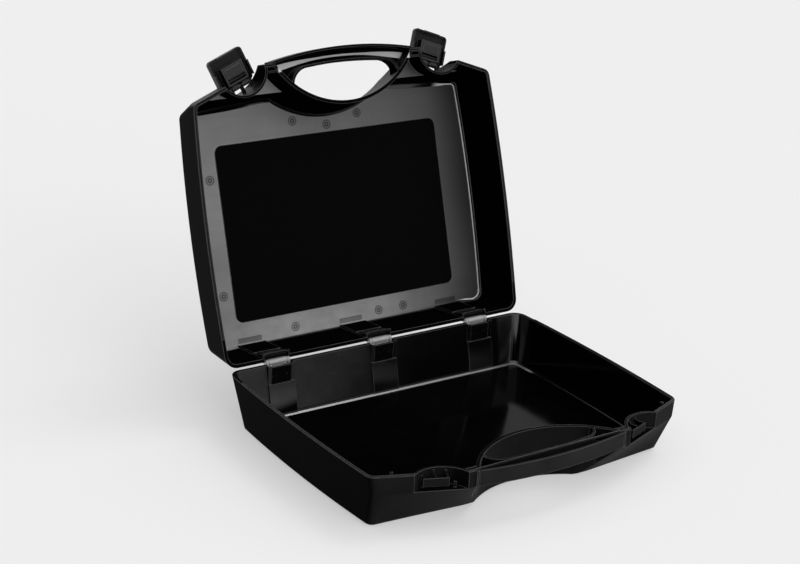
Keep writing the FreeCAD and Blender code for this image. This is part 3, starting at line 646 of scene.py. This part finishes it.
def lid_plastic():
    """The base's black plastic, with painted sheen on the satin webs and the satin frame round a
    black field, and painted shade and highlights.
    """
    made, nodes, shader = new_material("lid_shell_plastic")
    where = nodes.add("ShaderNodeTexCoord")
    place = nodes.turned(where.outputs["Object"], HINGE)
    normal = nodes.turned(where.outputs["Normal"], (0.0, 0.0, 0.0))
    x, y, z = nodes.split(place)
    normal_x, _, normal_z = nodes.split(normal)
    depth = nodes.math("SUBTRACT", LID_FLOOR, z)
    inside = inside_share(nodes, place, normal, LID_CENTRE)
    edge = shell_grain(nodes, shader, place, inside)
    flat = nodes.looking_back(normal_z, FLAT_FACING)
    on_floor = nodes.product(nodes.below(depth, *LID_FLOOR_DEPTH), flat, inside)
    panel = panel_share(nodes, x, y, 0.0)
    rear_curve = nodes.product(nodes.below(depth, *LID_REAR_CURVE_DEPTH),
                               nodes.looking_back(normal_z, CURVE_FACING),
                               nodes.above(y, *LID_REAR_CURVE_Y), inside)
    web = nodes.product(nodes.below(nodes.off(z, WEB_LEVEL), *WEB_BLUR), flat)
    # Where the satin's grey of painted sheen goes: the frame, the rear curve and the webs
    satin = nodes.highest(nodes.product(on_floor, nodes.but(panel)), rear_curve, web)
    unmarked = unmarked_share(nodes, x, y)
    # Painted shade on the left sides and on the faces that look down with the case shut, which
    # also get less gloss
    dark = nodes.highest(nodes.looking_back(normal_x, SIDE_FACING),
                         nodes.looking_back(normal_z, MEETING_FACING))
    corner = nodes.product(nodes.below(depth, *LID_CORNER_DEPTH),
                           nodes.above(depth, *LID_CORNER_TOP_DEPTH), inside,
                           nodes.but(on_floor))

    shade = nodes.mix(inside, nodes.mix(dark, LID_SHADE, LID_PAINTED_SHADE), INSIDE_SHADE)
    shade = nodes.mix(satin, shade, painted_sheen_shade(nodes, place, x, y, unmarked))
    # A painted highlight along the handle
    shade = nodes.mix(highlight_streak_share(nodes, x, y, z, normal_z), shade, STREAK_HIGHLIGHT)
    # Painted highlight lines along the right floor corner
    right_highlight_corner = nodes.product(corner, nodes.above(x, *LID_CORNER_LINE_X))
    for (lower, upper), line_highlight in ((INNER_LINE_FACING, LID_INNER_LINE_HIGHLIGHT),
                                       (OUTER_LINE_FACING, LID_OUTER_LINE_HIGHLIGHT)):
        line = nodes.product(nodes.looking_back(normal_z, lower),
                             nodes.but(nodes.looking_back(normal_z, upper)))
        shade = nodes.mix(nodes.product(right_highlight_corner, line), shade, line_highlight)

    rough = nodes.mix(inside, OUTSIDE_ROUGHNESS, LID_INSIDE_ROUGHNESS)
    rough = nodes.mix(corner, rough, LID_CORNER_ROUGHNESS)
    rough = nodes.mix(on_floor, rough, nodes.mix(panel, SATIN_ROUGHNESS, PANEL_ROUGHNESS))
    rough = nodes.mix(nodes.highest(rear_curve, web), rough, SATIN_ROUGHNESS)

    gloss = nodes.mix(inside, nodes.mix(dark, LID_OUTSIDE_GLOSS, DARK_GLOSS), 0.0)
    gloss = nodes.mix(corner, gloss, nodes.ease(x, *LID_CORNER_LINE_X, *LID_CORNER_GLOSS))
    gloss = nodes.mix(web, gloss, SATIN_GLOSS)
    gloss = nodes.mix(on_floor, gloss,
                      nodes.mix(panel, nodes.product(unmarked, SATIN_GLOSS), PANEL_GLOSS))
    # Painted highlights on the rounded edges, which are also glossier
    assign(nodes, shader, nodes.mix(edge, shade, LID_EDGE_HIGHLIGHT),
           nodes.mix(edge, rough, EDGE_ROUGHNESS), nodes.mix(edge, gloss, EDGE_GLOSS))
    return made


def knuckle_share(nodes, place):
    """1 round the hinges' axis, 0 on the leaves."""
    flat = nodes.vector("MULTIPLY", nodes.vector("SUBTRACT", place, HINGE), (0.0, 1.0, 1.0))
    return nodes.below(nodes.vector("LENGTH", flat), *KNUCKLE_RADIUS)


def latch_plate_share(nodes, place):
    """1 on the plate on a latch's inner side."""
    level = nodes.split(nodes.turned(place, HINGE))[2]
    return nodes.below(level, *LATCH_PLATE_LEVEL)


def small_plastic(name, shades, roughness, gloss, part_share, polished):
    """The black of the latches and hinge leaves, with painted highlights on the edges, and one
    part lighter and perhaps polished.
    """
    made, nodes, shader = new_material(name)
    place = nodes.add("ShaderNodeTexCoord").outputs["Object"]
    edge = grained(nodes, shader, place, SMALL_GRAIN, SMALL_GRAIN_SCALE, SMALL_EDGE_ROUND)
    cloud = nodes.noise(place, *SMALL_CLOUD)
    body, lighter = shades
    part = part_share(nodes, place)
    shade = nodes.ease(cloud, *CLOUD_RANGE, *[body * gain for gain in SMALL_SHADE_GAIN])
    # On the hinges the lighter part is a painted highlight on the knuckles; on the latches it is
    # the plate
    shade = nodes.mix(part, shade, lighter)
    rough = nodes.ease(cloud, *CLOUD_RANGE, roughness - SMALL_ROUGHNESS_CHANGE,
                       roughness + SMALL_ROUGHNESS_CHANGE)
    bright = nodes.highest(edge, part) if polished else edge
    # Painted highlights on the rounded edges
    assign(nodes, shader, nodes.mix(edge, shade, SMALL_EDGE_HIGHLIGHT),
           nodes.mix(bright, rough, EDGE_ROUGHNESS), nodes.mix(bright, gloss, 1.0))
    return made


def pin_steel():
    """Drawn wire, with fine lines along it."""
    made, nodes, shader = new_material("pin_steel")
    place = nodes.add("ShaderNodeTexCoord").outputs["Object"]
    line = nodes.noise(nodes.stretched(place, DRAWN_STRETCH), *DRAWN_LINE)
    nodes.link(nodes.grey(nodes.ease(line, *CLOUD_RANGE, *STEEL_SHADES)),
               shader.inputs["Base Color"])
    nodes.link(nodes.ease(line, *CLOUD_RANGE, *STEEL_ROUGHNESS), shader.inputs["Roughness"])
    shader.inputs["Metallic"].default_value = 1.0
    return made


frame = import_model()
bpy.context.scene.view_settings.view_transform = "Standard"
camera()
world()
floor()
latch = small_plastic("latch_plastic", LATCH_SHADES, LATCH_ROUGHNESS, LATCH_GLOSS,
                      latch_plate_share, False)
hinge = small_plastic("hinge_plastic", HINGE_SHADES_AND_HIGHLIGHT, HINGE_ROUGHNESS, HINGE_GLOSS,
                      knuckle_share, True)
steel = pin_steel()
shells = {"base_shell": base_plastic(), "lid_shell": lid_plastic()}
for name, node in frame["nodes"].items():
    smooth_normals(node)
    if "pin" in name:
        chosen = steel
    elif name.startswith("hinge"):
        chosen = hinge
    elif name.startswith("latch"):
        chosen = latch
    else:
        chosen = shells[name]
    node.data.materials.clear()
    node.data.materials.append(chosen)
